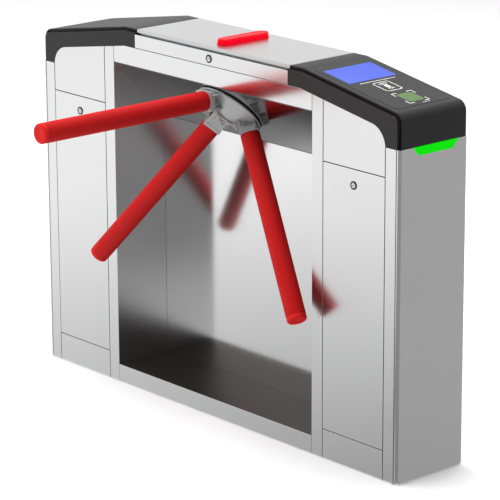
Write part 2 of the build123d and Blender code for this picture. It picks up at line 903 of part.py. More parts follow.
with BuildPart() as mechanism_chassis:
    with BuildSketch(head_plane.offset(plate_level)):
        with Locations((0, (plate_front + plate_rear) / 2)):
            Rectangle(2 * plate_half, plate_rear - plate_front)
        Circle(shaft_hole_radius, mode=Mode.SUBTRACT)
    extrude(amount=plate_depth)
    for side in (-1, 1):
        with BuildSketch(Plane.YZ.offset(side * plate_half)):
            with BuildLine():
                Polyline(
                    head_point(plate_front, plate_level),
                    head_point(plate_rear, plate_level),
                    (cheek_rear, bridge_height + tube),
                    (cheek_front, bridge_height + tube),
                    close=True,
                )
            make_face()
        extrude(amount=side * (rail_x - plate_half))
    with BuildSketch(head_plane.offset(bridge_level)):
        Rectangle(2 * plate_half, 2 * bridge_half)
        Circle(shaft_radius + bridge_clearance, mode=Mode.SUBTRACT)
    extrude(amount=bridge_depth)
    with BuildSketch(head_plane.offset(housing_foot)):
        with Locations((pawl_x, pawl_y)):
            Circle(pawl_pin_radius + pawl_shoulder)
    extrude(amount=wheel_level - slack - housing_foot)
    with BuildSketch(head_plane.offset(housing_foot)):
        with Locations((pawl_x, pawl_y)):
            Circle(pawl_pin_radius)
    extrude(amount=wheel_level + wheel_width + pawl_shoulder - housing_foot)
write(mechanism_chassis.part, "mechanism_chassis")

with BuildPart() as bearing_housing:
    with BuildSketch(head_plane.offset(housing_foot)):
        Circle(housing_flange)
    extrude(amount=plate_depth)
    with BuildSketch(head_plane.offset(housing_foot)):
        Circle(housing_radius)
    extrude(amount=housing_end - housing_foot)
    with BuildSketch(head_plane.offset(housing_foot)):
        Circle(bearing_radius)
    extrude(amount=housing_end - housing_foot, mode=Mode.SUBTRACT)
write(bearing_housing.part, "bearing_housing")

with BuildPart() as shaft_bearings:
    for level in (housing_foot, housing_end - bearing_width):
        with BuildSketch(head_plane.offset(level)):
            Circle(bearing_radius)
            Circle(shaft_radius + running, mode=Mode.SUBTRACT)
        extrude(amount=bearing_width)
write(shaft_bearings.part, "shaft_bearings")

with BuildPart() as housing_bolts:
    with BuildSketch(head_plane.offset(housing_foot + plate_depth)):
        with PolarLocations((housing_radius + housing_flange) / 2, 6):
            RegularPolygon(bolt_radius, 6)
    extrude(amount=bolt_head)
write(housing_bolts.part, "housing_bolts")

with BuildPart() as shaft_seal:
    with BuildSketch(head_plane.offset(-hub_setback - seal_depth)):
        Circle(shaft_hole_radius + seal_lip)
        Circle(shaft_radius + slack, mode=Mode.SUBTRACT)
    extrude(amount=seal_depth)
    with BuildSketch(head_plane.offset(-hub_setback)):
        Circle(shaft_hole_radius - running)
        Circle(shaft_radius + slack, mode=Mode.SUBTRACT)
    extrude(amount=sheet)
write(shaft_seal.part, "shaft_seal")

with BuildPart() as lock_pawl:
    with BuildSketch(head_plane.offset(wheel_level)):
        with Locations((pawl_x, (tooth_y + pawl_y + pawl_tail) / 2)):
            Rectangle(pawl_width, pawl_y + pawl_tail - tooth_y + tooth_width)
        with Locations((pawl_x - tooth_length / 2, tooth_y)):
            Rectangle(tooth_length, tooth_width)
        with Locations((pawl_x, pawl_y)):
            Circle(pawl_pin_radius + pawl_shoulder)
            Circle(pawl_pin_radius + running, mode=Mode.SUBTRACT)
    extrude(amount=wheel_width)
write(lock_pawl.part, "lock_pawl")

with BuildPart() as solenoid:
    with BuildSketch(head_plane.offset(housing_foot)):
        with Locations((solenoid_x + solenoid_length / 2, plunger_y)):
            Rectangle(solenoid_length, 2 * solenoid_half)
    extrude(amount=plunger_level + solenoid_half - housing_foot)
    with BuildSketch(plunger_plane(0)):
        Circle(plunger_radius + running)
    extrude(amount=half_l, mode=Mode.SUBTRACT)
write(solenoid.part, "solenoid")

# The plunger's round nose stays just clear of the pawl's tail as both move
nose = plunger_plane(pawl_x + pawl_width / 2 + plunger_gap + plunger_radius)
with BuildPart() as plunger:
    with BuildSketch(nose):
        Circle(plunger_radius)
    extrude(amount=plunger_length)
    with Locations(nose):
        Sphere(plunger_radius)
write(plunger.part, "plunger")

with BuildPart() as turn_damper:
    with BuildSketch(head_plane.offset(bridge_level + bridge_depth)):
        Circle(damper_radius)
    extrude(amount=damper_depth)
    with BuildSketch(head_plane.offset(bridge_level + bridge_depth)):
        Circle(shaft_radius + running)
    extrude(amount=damper_depth - sheet, mode=Mode.SUBTRACT)
write(turn_damper.part, "turn_damper")

sensor_foot = encoder_level - sensor_mouth
with BuildPart() as counter_sensor:
    with BuildSketch(head_plane.offset(sensor_foot)):
        with Locations((-encoder_radius, 0)):
            Rectangle(2 * encoder_slot, sensor_width)
    extrude(amount=bridge_level - sensor_foot)
    with BuildSketch(head_plane.offset(encoder_level - sensor_mouth / 2)):
        with Locations((-encoder_radius + encoder_slot / 2, 0)):
            Rectangle(2 * encoder_slot, sensor_width)
    extrude(amount=sensor_mouth + sheet, mode=Mode.SUBTRACT)
write(counter_sensor.part, "counter_sensor")

# ---------------------------------------------------------------- electrics in the columns

with BuildPart() as equipment_trays:
    for side in (-1, 1):
        slab(side * inner_x, side * (outer_x + tube), board_y, frame_y, tray_foot, tray_top)
    for x in (board_lo + chip_size / 2, board_hi - chip_size / 2):
        for z in (board_foot + chip_size / 2, board_foot + control_height - chip_size / 2):
            with BuildSketch(Plane.XZ.offset(-board_y)):
                with Locations((x, z)):
                    RegularPolygon(screw_radius, 6)
            extrude(amount=standoff_length)
write(equipment_trays.part, "equipment_trays")

with BuildPart() as power_supply:
    slab(-door_middle - supply_length / 2, -door_middle + supply_length / 2,
         board_y - supply_depth, board_y, tray_top - supply_height - tray_margin,
         tray_top - tray_margin)
write(power_supply.part, "power_supply")

with BuildPart() as terminal_strip:
    strip_z = tray_foot + tray_margin
    slab(-door_middle - supply_length / 2, -door_middle + supply_length / 2,
         board_y - terminal_depth, board_y, strip_z, strip_z + terminal_depth)
    pitch = supply_length / terminal_count
    for step in range(terminal_count):
        x_lo = -door_middle - supply_length / 2 + pitch / 4 + step * pitch
        slab(x_lo, x_lo + pitch / 2, board_y - terminal_depth, board_y - terminal_depth / 2,
             strip_z + terminal_depth / 3, strip_z + terminal_depth, mode=Mode.SUBTRACT)
write(terminal_strip.part, "terminal_strip")

with BuildPart() as control_board:
    slab(board_lo, board_hi, board_face - sheet, board_face, board_foot, board_foot + control_height)
    for column in range(3):
        for row in range(2):
            x_lo = board_lo + chip_size + column * control_length / 3
            z_lo = board_foot + chip_size + row * control_height / 2
            slab(x_lo, x_lo + chip_size, board_face - sheet - chip_depth, board_face - sheet,
                 z_lo, z_lo + chip_size)
write(control_board.part, "control_board")
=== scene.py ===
import json
import math
import bmesh
import bpy
from mathutils import Matrix, Vector

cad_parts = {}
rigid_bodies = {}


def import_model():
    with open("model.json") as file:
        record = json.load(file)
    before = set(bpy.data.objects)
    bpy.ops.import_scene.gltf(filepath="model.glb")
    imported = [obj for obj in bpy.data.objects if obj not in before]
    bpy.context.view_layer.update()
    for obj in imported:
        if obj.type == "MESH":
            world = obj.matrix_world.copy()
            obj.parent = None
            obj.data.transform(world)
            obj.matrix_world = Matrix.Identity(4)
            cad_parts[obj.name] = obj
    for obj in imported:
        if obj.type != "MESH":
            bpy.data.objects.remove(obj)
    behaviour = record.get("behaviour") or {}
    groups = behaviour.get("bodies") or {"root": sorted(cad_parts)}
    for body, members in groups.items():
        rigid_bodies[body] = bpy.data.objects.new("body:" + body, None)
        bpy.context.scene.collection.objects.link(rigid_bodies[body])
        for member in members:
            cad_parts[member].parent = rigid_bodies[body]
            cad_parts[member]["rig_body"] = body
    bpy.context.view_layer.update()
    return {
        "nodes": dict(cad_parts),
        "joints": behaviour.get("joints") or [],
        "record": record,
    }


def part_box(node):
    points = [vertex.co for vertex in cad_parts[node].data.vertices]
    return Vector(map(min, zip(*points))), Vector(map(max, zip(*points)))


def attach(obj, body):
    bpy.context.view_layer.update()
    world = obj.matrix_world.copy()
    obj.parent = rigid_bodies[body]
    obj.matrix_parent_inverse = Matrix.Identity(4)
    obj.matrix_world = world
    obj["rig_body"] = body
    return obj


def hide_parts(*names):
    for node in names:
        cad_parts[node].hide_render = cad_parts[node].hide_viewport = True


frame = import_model()

# ---------------------------------------------------------------- studio
# Not part of the turnstile: a plain pale floor, a camera above head height, and soft light.
# The room is pale behind the cabinet and dim on the camera's side, which gives bare steel its contrast.
scene = bpy.context.scene
scene.view_settings.view_transform = "Standard"


def ready():
    """Leave edit mode and deselect everything, before the next primitive."""
    if bpy.context.object and bpy.context.object.mode != "OBJECT":
        bpy.ops.object.mode_set(mode="OBJECT")
    for thing in scene.objects:
        thing.select_set(False)


def plain_finish(name, color, metallic=0.0, roughness=0.5):
    """New material with its plain values set on the Principled shader."""
    material = bpy.data.materials.new(name)
    material.use_nodes = True
    shader = material.node_tree.nodes["Principled BSDF"]
    shader.inputs["Base Color"].default_value = (*color, 1)
    shader.inputs["Metallic"].default_value = metallic
    shader.inputs["Roughness"].default_value = roughness
    return material


ready()
bpy.ops.mesh.primitive_plane_add(size=80, location=(0, 0, 0))
floor = bpy.context.object
floor.name = "studio_floor"
floor.data.materials.append(plain_finish("floor_paint", (0.9, 0.9, 0.9), 0, 0.95))

# The air is bright behind and to the left, and dim towards the camera
room_bright = 1.0
room_dim = 0.10
world = bpy.data.worlds.new("studio_air")
world.use_nodes = True
scene.world = world
air = world.node_tree
directions = air.nodes.new("ShaderNodeTexCoord")
towards_back = air.nodes.new("ShaderNodeVectorMath")
towards_back.operation = "DOT_PRODUCT"
towards_back.inputs[1].default_value = (-0.72, 0.635, 0.25)
fade = air.nodes.new("ShaderNodeMapRange")
fade.interpolation_type = "SMOOTHSTEP"
fade.inputs["From Min"].default_value = -0.45
fade.inputs["From Max"].default_value = 0.75
fade.inputs["To Min"].default_value = room_dim
fade.inputs["To Max"].default_value = room_bright
air.links.new(directions.outputs["Generated"], towards_back.inputs[0])
air.links.new(towards_back.outputs["Value"], fade.inputs["Value"])
air.links.new(fade.outputs["Result"], air.nodes["Background"].inputs["Strength"])
air.nodes["Background"].inputs["Color"].default_value = (1, 1, 1, 1)


def light_card(name, x_lo, x_hi, y_lo, y_hi, near, far, reach, height=0.002):
    """Glowing card near the floor that only mirrors see: `near` at the cabinet, `far` at `reach`."""
    ready()
    bpy.ops.mesh.primitive_plane_add(size=1, location=((x_lo + x_hi) / 2, (y_lo + y_hi) / 2, height))
    card = bpy.context.object
    card.name = name
    card.scale = (x_hi - x_lo, y_hi - y_lo, 1)
    bpy.ops.object.transform_apply(location=True, rotation=True, scale=True)
    glow = bpy.data.materials.new(name)
    glow.use_nodes = True
    tree = glow.node_tree
    tree.nodes.clear()
    place = tree.nodes.new("ShaderNodeTexCoord")
    distance = tree.nodes.new("ShaderNodeVectorMath")
    distance.operation = "DISTANCE"
    distance.inputs[1].default_value = (0.7, -0.1, height)
    ramp = tree.nodes.new("ShaderNodeMapRange")
    ramp.inputs["From Max"].default_value = reach
    ramp.inputs["To Min"].default_value = near
    ramp.inputs["To Max"].default_value = far
    emission = tree.nodes.new("ShaderNodeEmission")
    output = tree.nodes.new("ShaderNodeOutputMaterial")
    tree.links.new(place.outputs["Object"], distance.inputs[0])
    tree.links.new(distance.outputs["Value"], ramp.inputs["Value"])
    tree.links.new(ramp.outputs["Result"], emission.inputs["Strength"])
    tree.links.new(emission.outputs["Emission"], output.inputs["Surface"])
    card.data.materials.append(glow)
    card.visible_camera = False
    card.visible_diffuse = False
    card.visible_transmission = False
    card.visible_shadow = False


card_gap = 0.003
cabinet_end = 0.7
cabinet_side = 0.117
front = -cabinet_side - card_gap
recess_split = 0.35
light_card("card_passage", -8, recess_split, -8, front, 0.42, 1.12, 3.0)
light_card("card_passage_near", recess_split, cabinet_end, -0.45, front, 0.42, 1.12, 3.0)
light_card("card_recess", recess_split, cabinet_end, -8, -0.45, 0.5, 0.2, 0.8)
light_card("card_end", cabinet_end + card_gap, 8, front, 8, 0.40, 0.45, 0.8)
light_card("card_corner", cabinet_end, 8, -8, front, 0.26, 0.32, 1.5)
light_card("card_rear", -cabinet_end, cabinet_end, -front, 8, 0.36, 0.75, 3.0)
light_card("card_far_end", -14, -cabinet_end - card_gap, -cabinet_side, 14, 0.3, 0.5, 4.0)


def softbox(name, place, aim, size, power):
    """Square area light at a place, turned to face a point."""
    lamp = bpy.data.lights.new(name, "AREA")
    lamp.shape = "RECTANGLE"
    lamp.size, lamp.size_y = size
    lamp.energy = power
    light = bpy.data.objects.new(name, lamp)
    scene.collection.objects.link(light)
    light.location = place
    light.rotation_euler = (Vector(aim) - Vector(place)).to_track_quat("-Z", "Y").to_euler()
    light.visible_glossy = False
    light.visible_camera = False


softbox("light_over", (-0.8, -0.6, 5.5), (0, 0, 0), (7, 7), 560)
softbox("light_passage", (-1.5, -5.5, 2.2), (0, 0, 0.6), (3, 2), 60)

# The camera stands seven metres off to the right, above head height, and has a long lens
camera_data = bpy.data.cameras.new("standing_view")
camera_data.sensor_width = 36
camera_data.lens = 200.92
camera = bpy.data.objects.new("standing_view", camera_data)
scene.collection.objects.link(camera)
scene.camera = camera
yaw = math.radians(48.608)
pitch = math.radians(16.09)
roll = math.radians(-0.248)
ahead = Vector((-math.sin(yaw) * math.cos(pitch), math.cos(yaw) * math.cos(pitch), -math.sin(pitch)))
level = Vector((math.cos(yaw), math.sin(yaw), 0))
upright = level.cross(ahead)
across = level * math.cos(roll) + upright * math.sin(roll)
tilted = upright * math.cos(roll) - level * math.sin(roll)
camera_place = (5.3188, -4.6672, 2.478)
camera_turn = Matrix((across, tilted, -ahead)).transposed().to_4x4()
camera.matrix_world = Matrix.Translation(camera_place) @ camera_turn


# ---------------------------------------------------------------- cabinet skins
# The cabinet is clad in 2 mm brushed stainless sheet, folded at the edges and fixed to the frame
# behind: posts beside the doors, panels above and below them, rails over and under the recess,
# and an end panel that wraps round both corners of each column.
def noise(tree, scale, detail=2.0):
    """Noise over the piece's own place, from 0 to 1."""
    place = tree.nodes.new("ShaderNodeTexCoord")
    texture = tree.nodes.new("ShaderNodeTexNoise")
    texture.inputs["Scale"].default_value = scale
    texture.inputs["Detail"].default_value = detail
    tree.links.new(place.outputs["Object"], texture.inputs["Vector"])
    return texture.outputs["Fac"]


def spread(tree, value, low, high, target, value_low=0.0, value_high=1.0):
    """Stretch a value to run from low to high, into one of the shader's inputs."""
    ramp = tree.nodes.new("ShaderNodeMapRange")
    ramp.inputs["From Min"].default_value = value_low
    ramp.inputs["From Max"].default_value = value_high
    ramp.inputs["To Min"].default_value = low
    ramp.inputs["To Max"].default_value = high
    tree.links.new(value, ramp.inputs["Value"])
    tree.links.new(ramp.outputs["Result"], tree.nodes["Principled BSDF"].inputs[target])


def tint(tree, value, color, darkest, lightest=1.0):
    """Vary the colour between two shares of itself."""
    mix = tree.nodes.new("ShaderNodeMix")
    mix.data_type = "RGBA"
    for side, share in (("A", darkest), ("B", lightest)):
        mix.inputs[side].default_value = (*[min(c * share, 1) for c in color], 1)
    tree.links.new(value, mix.inputs["Factor"])
    tree.links.new(mix.outputs["Result"], tree.nodes["Principled BSDF"].inputs["Base Color"])


def relief(tree, value, strength, height):
    """Raise the surface by a value, as fine grain does."""
    bump = tree.nodes.new("ShaderNodeBump")
    bump.inputs["Strength"].default_value = strength
    bump.inputs["Distance"].default_value = height
    tree.links.new(value, bump.inputs["Height"])
    tree.links.new(bump.outputs["Normal"], tree.nodes["Principled BSDF"].inputs["Normal"])


def brushed_steel(name, color, roughness, along, depth=0.025):
    """Stainless sheet with its hairlines along one axis, and a faint cloudiness."""
    material = plain_finish(name, color, 1, roughness)
    tree = material.node_tree
    place = tree.nodes.new("ShaderNodeTexCoord")
    stretch = tree.nodes.new("ShaderNodeMapping")
    stretch.inputs["Scale"].default_value = [12 if axis == along else 900 for axis in "XYZ"]
    hairline = tree.nodes.new("ShaderNodeTexNoise")
    hairline.inputs["Scale"].default_value = 1
    both = tree.nodes.new("ShaderNodeMath")
    both.operation = "ADD"
    tree.links.new(place.outputs["Object"], stretch.inputs["Vector"])
    tree.links.new(stretch.outputs["Vector"], hairline.inputs["Vector"])
    tree.links.new(hairline.outputs["Fac"], both.inputs[0])
    tree.links.new(noise(tree, 5, 3), both.inputs[1])
    spread(tree, both.outputs["Value"], roughness - 0.03, roughness + 0.03, "Roughness", 0.6, 1.4)
    tint(tree, hairline.outputs["Fac"], color, 0.96)
    relief(tree, hairline.outputs["Fac"], depth, 0.0002)
    return material


def choose(kind, test):
    """Select the parts of the mesh being edited that pass a test, and no others."""
    bpy.ops.mesh.select_mode(type=kind)
    bpy.ops.mesh.select_all(action="DESELECT")
    mesh = bmesh.from_edit_mesh(bpy.context.object.data)
    parts = {"VERT": mesh.verts, "EDGE": mesh.edges, "FACE": mesh.faces}[kind]
    for part in parts:
        part.select_set(bool(test(part)))
    mesh.select_flush_mode()
    bmesh.update_edit_mesh(bpy.context.object.data)


def fit(piece, name, body, slot, finish, *nodes, smooth=25):
    """Name a finished piece, put its place in its mesh, give its finish, and fix it to its body."""
    ready()
    piece.select_set(True)
    bpy.context.view_layer.objects.active = piece
    bpy.ops.object.transform_apply(location=True, rotation=True, scale=True)
    bpy.ops.object.shade_smooth_by_angle(angle=math.radians(smooth))
    piece.name = name
    piece.data.name = name
    piece.data.materials.clear()
    piece.data.materials.append(finish)
    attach(piece, body)
    if nodes:
        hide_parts(*nodes)
    return piece


def body_of_node(node):
    """Body that a CAD node belongs to."""
    return frame["nodes"][node]["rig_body"]


def eased_copy(node, edge, finish, slot, sharp=35):
    """Copy of a CAD node as one welded mesh, with its sharp edges broken by `edge`."""
    ready()
    piece = bpy.data.objects.new(node + "_eased", frame["nodes"][node].data.copy())
    scene.collection.objects.link(piece)
    piece.select_set(True)
    bpy.context.view_layer.objects.active = piece
    bpy.ops.mesh.customdata_custom_splitnormals_clear()
    bpy.ops.object.mode_set(mode="EDIT")
    bpy.ops.mesh.select_all(action="SELECT")
    bpy.ops.mesh.remove_doubles(threshold=0.00002)
    bpy.ops.mesh.dissolve_limited(angle_limit=math.radians(1))
    bpy.ops.mesh.select_all(action="DESELECT")
    bpy.ops.mesh.select_mode(type="EDGE")
    bpy.ops.mesh.edges_select_sharp(sharpness=math.radians(sharp))
    bpy.ops.mesh.bevel(offset=edge, segments=1, affect="EDGES", clamp_overlap=True)
    bpy.ops.object.mode_set(mode="OBJECT")
    return fit(piece, node + "_eased", body_of_node(node), slot, finish, node)


skin_steel = brushed_steel("skin_steel", (0.78, 0.78, 0.785), 0.24, "Z")
folded_edge = 0.0005
for node in ("inner_posts", "outer_posts", "upper_panels", "kick_panels",
             "end_panel_left", "end_panel_right", "rear_panels"):
    eased_copy(node, folded_edge, skin_steel, "steel_skin")
rail_steel = brushed_steel("rail_steel", (0.76, 0.76, 0.765), 0.15, "X", 0.015)
eased_copy("front_rails", folded_edge, rail_steel, "steel_skin")

# ---------------------------------------------------------------- recess lining
# Three stainless sheets line the recess: back, sill and the slanted panel that the head comes
# out of. The back and the slant are smooth enough to show the arms. The slant's colour is darkened
# as painted shade for the dim reflections it shows. The sill's colour is darkened further and made
# browner, as painted shade in the recess, and the sill is also the dullest.
recess_steel = brushed_steel("recess_steel", (0.79, 0.79, 0.795), 0.12, "Z", 0.015)
eased_copy("recess_back_panel", folded_edge, recess_steel, "recess_steel")
# Base colour darkened to 0.50: painted shade for the dim reflections on the slant
slant_steel_painted_shade = brushed_steel("slant_steel_painted_shade", (0.50, 0.50, 0.505), 0.12, "X", 0.015)
eased_copy("recess_slant_panel", folded_edge, slant_steel_painted_shade, "recess_steel")
# Base colour darkened to 0.185 and browned: painted shade of the recess on the sill
sill_steel_painted_shade = brushed_steel("sill_steel_painted_shade", (0.185, 0.16, 0.155), 0.42, "X", 0.015)
eased_copy("recess_sill_panel", folded_edge, sill_steel_painted_shade, "recess_steel")

# ---------------------------------------------------------------- service doors
# Each column has a door: a shallow folded pan of the same sheet. It leans out on two pins
# near its foot, and a cam lock near its head holds it shut.
for node in ("door_left", "door_right"):
    eased_copy(node, folded_edge, skin_steel, "steel_skin")

# ---------------------------------------------------------------- lid
# The lid is a folded tray over a ring of bars, with a flap in front that carries its lock.
# Its hairlines run along the cabinet.
lid_steel = brushed_steel("lid_steel", (0.66, 0.66, 0.665), 0.3, "X")
lid_edge = 0.001
eased_copy("top_cover", lid_edge, lid_steel, "lid_steel")
eased_copy("lid_apron", folded_edge, skin_steel, "lid_steel")

# ---------------------------------------------------------------- signal lamp
# A low red acrylic bar across the lid, with cut-off corners and a sloped rim all round.
# The boards under it light it evenly, and fine ribs inside the lens spread the light.
def lit_plastic(name, color, roughness, shine, glow, texture, scale, low, high):
    """Tinted plastic lit from behind, whose glow runs from low to high with a texture."""
    material = plain_finish(name, color, 0, roughness)
    tree = material.node_tree
    shader = tree.nodes["Principled BSDF"]
    shader.inputs["Emission Color"].default_value = (*glow, 1)
    shader.inputs["Specular IOR Level"].default_value = shine
    place = tree.nodes.new("ShaderNodeTexCoord")
    pattern = tree.nodes.new(texture)
    pattern.inputs["Scale"].default_value = scale
    if texture == "ShaderNodeTexWave":
        pattern.bands_direction = "Y"
    tree.links.new(place.outputs["Object"], pattern.inputs["Vector"])
    spread(tree, pattern.outputs["Fac"], low, high, "Emission Strength")
    return material


lamp_red = lit_plastic("lamp_red", (0.2, 0.001, 0.002), 0.35, 0.08, (1, 0.001, 0.018),
                       "ShaderNodeTexWave", 60, 0.78, 0.9)
lamp_corner = 0.0155
lamp_rim = 0.004
lamp_edge = 0.0006
low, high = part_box("light_bar")
ready()
bpy.ops.mesh.primitive_cube_add(size=1, location=(low + high) / 2, scale=high - low)
lamp = bpy.context.object
bpy.ops.object.transform_apply(location=True, rotation=True, scale=True)
bpy.ops.object.mode_set(mode="EDIT")
choose("EDGE", lambda e: abs(e.verts[0].co.z - e.verts[1].co.z) > 0.001)
bpy.ops.mesh.bevel(offset=lamp_corner, segments=1, affect="EDGES")
choose("FACE", lambda f: f.normal.z > 0.9)
bpy.ops.mesh.bevel(offset=lamp_rim, segments=1, affect="EDGES")
choose("FACE", lambda f: f.normal.z > 0.9)
bpy.ops.mesh.inset(thickness=lamp_rim / 2, depth=-lamp_edge)
bpy.ops.mesh.select_all(action="DESELECT")
bpy.ops.mesh.select_mode(type="EDGE")
bpy.ops.mesh.edges_select_sharp(sharpness=math.radians(35))
bpy.ops.mesh.bevel(offset=lamp_edge / 2, segments=2, affect="EDGES")
fit(lamp, "signal_lamp", "lid", "red_lens", lamp_red, "light_bar")

# ---------------------------------------------------------------- cap covers
# Each column ends in a black moulded cap. Its cover is a ribbon that runs level from the lid,
# slopes down, and turns over a round nose to the end panel. A narrower neck under it leaves
# a shadow groove above the skirt.
def moulded(name, color, roughness, grain=0.12, shine=0.3):
    """Moulded plastic with a fine spark-eroded grain."""
    material = plain_finish(name, color, 0, roughness)
    tree = material.node_tree
    tree.nodes["Principled BSDF"].inputs["Specular IOR Level"].default_value = shine
    pits = noise(tree, 900)
    tint(tree, pits, color, 0.82, 1.18)
    relief(tree, pits, grain, 0.0003)
    return material


cap_plastic = moulded("cap_plastic", (0.020, 0.0185, 0.019), 0.45, 0.12, 0.26)
cap_bend = 0.35
cap_fall = 0.17
cap_nose = 0.027
cap_lip = 0.005
cap_neck_side = 0.104
cap_edge = 0.0016


def cap_ribbon(side, inset, half_width):
    """One bent strip of a cap, `inset` under its outer surface."""
    low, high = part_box("cap_cover_right")
    start = low.x
    end = high.x - inset
    top = high.z - inset
    foot = low.z
    ready()
    bpy.ops.mesh.primitive_cube_add(
        size=1, location=(side * (start + end) / 2, 0, (foot + top) / 2),
        scale=(end - start, 2 * half_width, top - foot),
    )
    strip = bpy.context.object
    bpy.ops.object.transform_apply(location=True, rotation=True, scale=True)
    bpy.ops.object.mode_set(mode="EDIT")
    bpy.ops.mesh.select_all(action="SELECT")
    bpy.ops.mesh.bisect(
        plane_co=(side * cap_bend, 0, top), plane_no=(side * cap_fall, 0, 1),
        clear_outer=True, use_fill=True,
    )
    turn = math.pi / 2 - math.atan(cap_fall)
    brow = top - cap_fall * (end - cap_bend)
    choose("EDGE", lambda e: all(abs(v.co.z - brow) < 0.004 and abs(v.co.x) > end - 0.001 for v in e.verts))
    bpy.ops.mesh.bevel(offset=(cap_nose - inset) * math.tan(turn / 2), segments=10, affect="EDGES")
    choose("FACE", lambda f: abs(f.normal.y) > 0.9 or f.normal.z < -0.9 or f.normal.x * side < -0.9)
    bpy.ops.mesh.delete(type="FACE")
    bpy.ops.object.mode_set(mode="OBJECT")
    wall = strip.modifiers.new("wall", "SOLIDIFY")
    wall.thickness = cap_lip
    wall.offset = -1
    wall.use_even_offset = True
    bpy.ops.object.modifier_apply(modifier=wall.name)
    return strip


def soften(piece, width, segments=3, sharp=40):
    """Round a piece's sharp edges, with its flat faces kept flat."""
    round_off = piece.modifiers.new("round_off", "BEVEL")
    round_off.width = width
    round_off.segments = segments
    round_off.limit_method = "ANGLE"
    round_off.angle_limit = math.radians(sharp)
    bpy.ops.object.modifier_apply(modifier=round_off.name)


def copies(piece, places):
    """Copy a piece to each place, every copy with its own mesh, in place of the piece itself."""
    made = []
    for place in places:
        one = bpy.data.objects.new(piece.name, piece.data.copy())
        scene.collection.objects.link(one)
        one.matrix_world = place
        made.append(one)
    bpy.data.objects.remove(piece)
    return made


def join_all(pieces):
    """Make one piece of several, with their places in its mesh."""
    ready()
    for piece in pieces:
        piece.select_set(True)
    bpy.context.view_layer.objects.active = pieces[0]
    bpy.ops.object.transform_apply(location=True, rotation=True, scale=True)
    bpy.ops.object.join()
    return pieces[0]


def even_shading(piece):
    """Keep large faces flat beside their rounded edges."""
    weigh = piece.modifiers.new("weigh", "WEIGHTED_NORMAL")
    weigh.keep_sharp = True
    bpy.ops.object.modifier_apply(modifier=weigh.name)


for side, end in ((-1, "left"), (1, "right")):
    neck = cap_ribbon(side, cap_lip, cap_neck_side)
    cover = cap_ribbon(side, 0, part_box("cap_cover_right")[1].y)
    soften(cover, cap_edge)
    join_all([cover, neck])
    fit(cover, "cap_cover_" + end + "_moulded", "cabinet", "black_plastic", cap_plastic,
        "cap_cover_" + end, smooth=32)
    even_shading(cover)
    eased_copy("cap_skirt_" + end, 0.0008, cap_plastic, "black_plastic")

# ---------------------------------------------------------------- console film
# A printed plastic film covers the slope of the right cap: a dark grey field with round corners,
# clear over the display and over the code scanner. The marks on it are printed in white.
film_plastic = moulded("film_plastic", (0.022, 0.0225, 0.022), 0.38, 0.04, 0.16)
film_low, film_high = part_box("console_film")
bend_height = film_high.z + (film_low.x - cap_bend) * cap_fall
slope = (Matrix.Translation((cap_bend, 0, bend_height))
         @ Matrix.Rotation(math.atan(cap_fall), 4, "Y"))
slope_length = math.hypot(1, cap_fall)
film_start = (film_low.x - cap_bend) * slope_length
film_end = (film_high.x - cap_bend) * slope_length
film_half = film_high.y
film_corner = 0.014
film_thick = 0.0006
fine_edge = 0.0003


def lay_on_slope(piece):
    """Put a piece that was made flat on the cap's slope, into its mesh."""
    ready()
    piece.select_set(True)
    bpy.context.view_layer.objects.active = piece
    piece.matrix_world = slope @ piece.matrix_world
    bpy.ops.object.transform_apply(location=True, rotation=True, scale=True)


def rounded_plate(x_lo, x_hi, y_lo, y_hi, z_lo, z_hi, corner, edge):
    """Flat plate with round corners and a broken upper edge, made level."""
    ready()
    bpy.ops.mesh.primitive_cube_add(
        size=1, location=((x_lo + x_hi) / 2, (y_lo + y_hi) / 2, (z_lo + z_hi) / 2),
        scale=(x_hi - x_lo, y_hi - y_lo, z_hi - z_lo),
    )
    plate = bpy.context.object
    bpy.ops.object.transform_apply(location=True, rotation=True, scale=True)
    bpy.ops.object.mode_set(mode="EDIT")
    choose("EDGE", lambda e: abs(e.verts[0].co.z - e.verts[1].co.z) > (z_hi - z_lo) / 2)
    bpy.ops.mesh.bevel(offset=corner, segments=8, affect="EDGES")
    choose("FACE", lambda f: f.normal.z > 0.9)
    bpy.ops.mesh.bevel(offset=edge, segments=1, affect="EDGES")
    bpy.ops.object.mode_set(mode="OBJECT")
    return plate


film = rounded_plate(film_start, film_end, -film_half, film_half, -film_thick, film_thick,
                     film_corner, fine_edge)
lay_on_slope(film)
fit(film, "console_film_printed", "cabinet", "console_film", film_plastic, "console_film")

# ---------------------------------------------------------------- display
# A backlit display, 96 by 160 mm, set under the film with its glass a little proud.
# At rest it glows plain blue.
screen_blue = lit_plastic("screen_blue", (0.005, 0.008, 0.03), 0.4, 0.05, (0.135, 0.2, 0.92),
                          "ShaderNodeTexNoise", 14, 0.9, 1.0)
screen_start = 0.040
screen_end = 0.136
screen_half = 0.080
screen_corner = 0.002
screen_rim = 0.0012
screen_dish = 0.0002
glass_lift = 0.0011
glass = rounded_plate(screen_start, screen_end, -screen_half, screen_half, -film_thick, glass_lift,
                      screen_corner, fine_edge)
bpy.ops.object.mode_set(mode="EDIT")
choose("FACE", lambda f: f.normal.z > 0.9)
bpy.ops.mesh.inset(thickness=screen_rim, depth=-screen_dish)
bpy.ops.object.mode_set(mode="OBJECT")
lay_on_slope(glass)
fit(glass, "display_glass", "cabinet", "screen", screen_blue, "screen_module")

# ---------------------------------------------------------------- scan window
# The code scanner under the slope looks up through a square window with round corners.
# Its lamp makes the tinted acrylic glow a soft green.
scan_green = lit_plastic("scan_green", (0.01, 0.02, 0.008), 0.4, 0.06, (0.185, 0.32, 0.13),
                         "ShaderNodeTexNoise", 160, 0.75, 0.95)
scan_from_foot = 0.075
scan_start = film_end - scan_from_foot
scan_size = 0.052
scan_corner = 0.009
eye = rounded_plate(scan_start, scan_start + scan_size, -scan_size / 2, scan_size / 2,
                    -film_thick, glass_lift, scan_corner, fine_edge)
lay_on_slope(eye)
fit(eye, "scan_glass", "cabinet", "scan_window", scan_green, "code_scanner")

